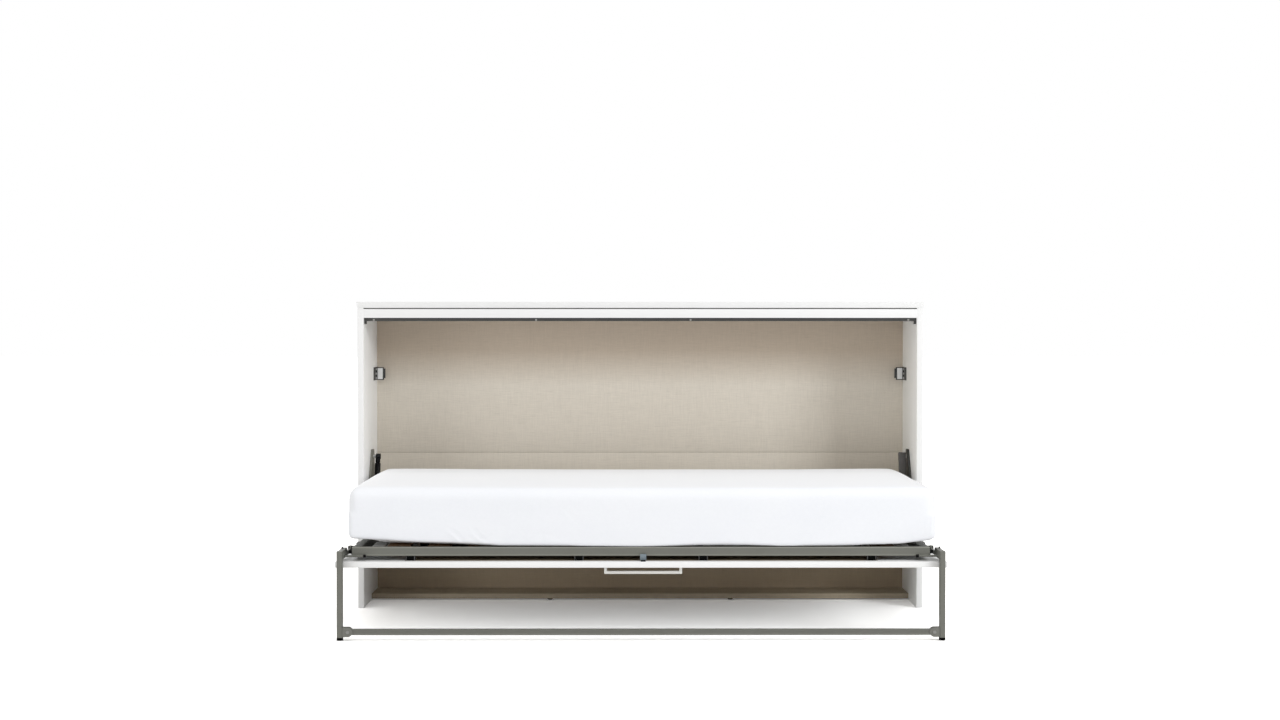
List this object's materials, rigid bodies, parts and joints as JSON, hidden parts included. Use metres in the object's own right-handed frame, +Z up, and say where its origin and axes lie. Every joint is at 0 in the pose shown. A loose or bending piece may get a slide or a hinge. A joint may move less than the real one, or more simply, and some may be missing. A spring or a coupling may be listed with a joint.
{
  "type": "horizontal wall bed",
  "caption": "Low white cabinet with a side-opening single wall bed let down from it, with mattress, lift struts and a fold-out leg frame.",
  "frame": {"origin": "middle of the bounding box on the floor, with the bed unfolded", "axes": "+Z up, +Y towards the wall, +X along the bed to the right as seen from the front; the bed unfolds towards -Y"},
  "size_m": [2.12, 1.173, 1.144],
  "materials": {
    "white_board": "white faced board, satin",
    "beige_board": "beige-grey faced board, fine linen grain",
    "gap_shadow": "dark spacer strip, matt",
    "grey_frame": "warm grey powder coat, satin",
    "dark_steel": "dark grey powder coat, satin",
    "light_bar": "light grey powder coat, satin",
    "bright_steel": "zinc plated, satin",
    "strut_black": "black, semi-gloss",
    "strut_rod": "polished rod",
    "black_plastic": "black plastic, matt",
    "dark_plastic": "dark grey plastic, matt",
    "white_plastic": "white plastic, matt",
    "cover_plate": "dark grey coated sheet, satin",
    "catch_grey": "blue-grey plastic, matt",
    "pad_rubber": "black rubber",
    "handle_cream": "off-white lacquer, satin",
    "beech": "sprung beech slats, clear lacquer",
    "sheet": "white cotton fitted sheet, matt"
  },
  "bodies": {
    "cabinet": {"side_left": "white_board", "side_right": "white_board", "top_board": "white_board", "gap_strip": "gap_shadow", "fascia": "white_board", "stop_rail": "dark_steel", "rail_screws": "bright_steel", "back_upper": "beige_board", "back_lower": "beige_board", "base_board": "beige_board", "base_feet": "pad_rubber", "wall_brackets": "dark_steel", "bracket_inserts": "white_plastic", "bracket_screws": "bright_steel", "lift_plates": "grey_frame", "plate_screws": "bright_steel", "pivot_pins": "bright_steel", "upper_studs": "bright_steel"},
    "bed": {"door_panel": "white_board", "handle": "handle_cream", "spacers": "black_plastic", "front_rail": "grey_frame", "rear_rail": "grey_frame", "end_rails": "grey_frame", "centre_rail": "grey_frame", "end_bars": "light_bar", "tube_caps": "black_plastic", "slats": "beech", "slat_holders": "dark_plastic", "catch_body": "catch_grey", "catch_pad": "pad_rubber", "pivot_bosses": "dark_steel", "lower_studs": "bright_steel", "leg_hinges": "dark_steel", "leg_stops": "grey_frame", "stop_tips": "black_plastic", "mattress": "sheet"},
    "leg": {"leg_left": "grey_frame", "leg_right": "grey_frame", "cross_bar": "grey_frame", "bar_brackets": "light_bar", "bar_bolts": "bright_steel", "foot_caps": "black_plastic", "leg_hooks": "black_plastic"},
    "cylinder_l": {"cylinder_left": "strut_black"},
    "cylinder_r": {"cylinder_right": "strut_black", "strut_cover": "cover_plate"},
    "rod_l": {"rod_left": "strut_rod"},
    "rod_r": {"rod_right": "strut_rod"}
  },
  "joints": [
    {"name": "bed_fold", "type": "hinge", "parent": "cabinet", "child": "bed", "pos_m": [0, 0.2315, 0.291], "axis": [1, 0, 0], "range_deg": [-90, 0]},
    {"name": "leg_fold", "type": "hinge", "parent": "bed", "child": "leg", "pos_m": [0, -0.3585, 0.284], "axis": [1, 0, 0], "range_deg": [-180, 0]},
    {"name": "strut_turn_left", "type": "hinge", "parent": "cabinet", "child": "cylinder_l", "pos_m": [-1.008, 0.4015, 0.553], "axis": [1, 0, 0], "range_deg": [-11.37, 0]},
    {"name": "strut_turn_right", "type": "hinge", "parent": "cabinet", "child": "cylinder_r", "pos_m": [1.008, 0.4015, 0.553], "axis": [1, 0, 0], "range_deg": [-11.37, 0]},
    {"name": "rod_slide_left", "type": "slide", "parent": "cylinder_l", "child": "rod_l", "axis": [0, -0.2839, -0.9589], "range_m": [0, 0.10701]},
    {"name": "rod_slide_right", "type": "slide", "parent": "cylinder_r", "child": "rod_r", "axis": [0, -0.2839, -0.9589], "range_m": [0, 0.10701]}
  ],
  "couplings": [
    {"joint": "leg_fold", "follows": "bed_fold", "ratio": 2},
    {"joint": "strut_turn_left", "follows": "bed_fold", "ratio": 0.12633},
    {"joint": "strut_turn_right", "follows": "bed_fold", "ratio": 0.12633},
    {"joint": "rod_slide_left", "follows": "bed_fold", "m_per_rad": -0.06812},
    {"joint": "rod_slide_right", "follows": "bed_fold", "m_per_rad": -0.06812}
  ]
}
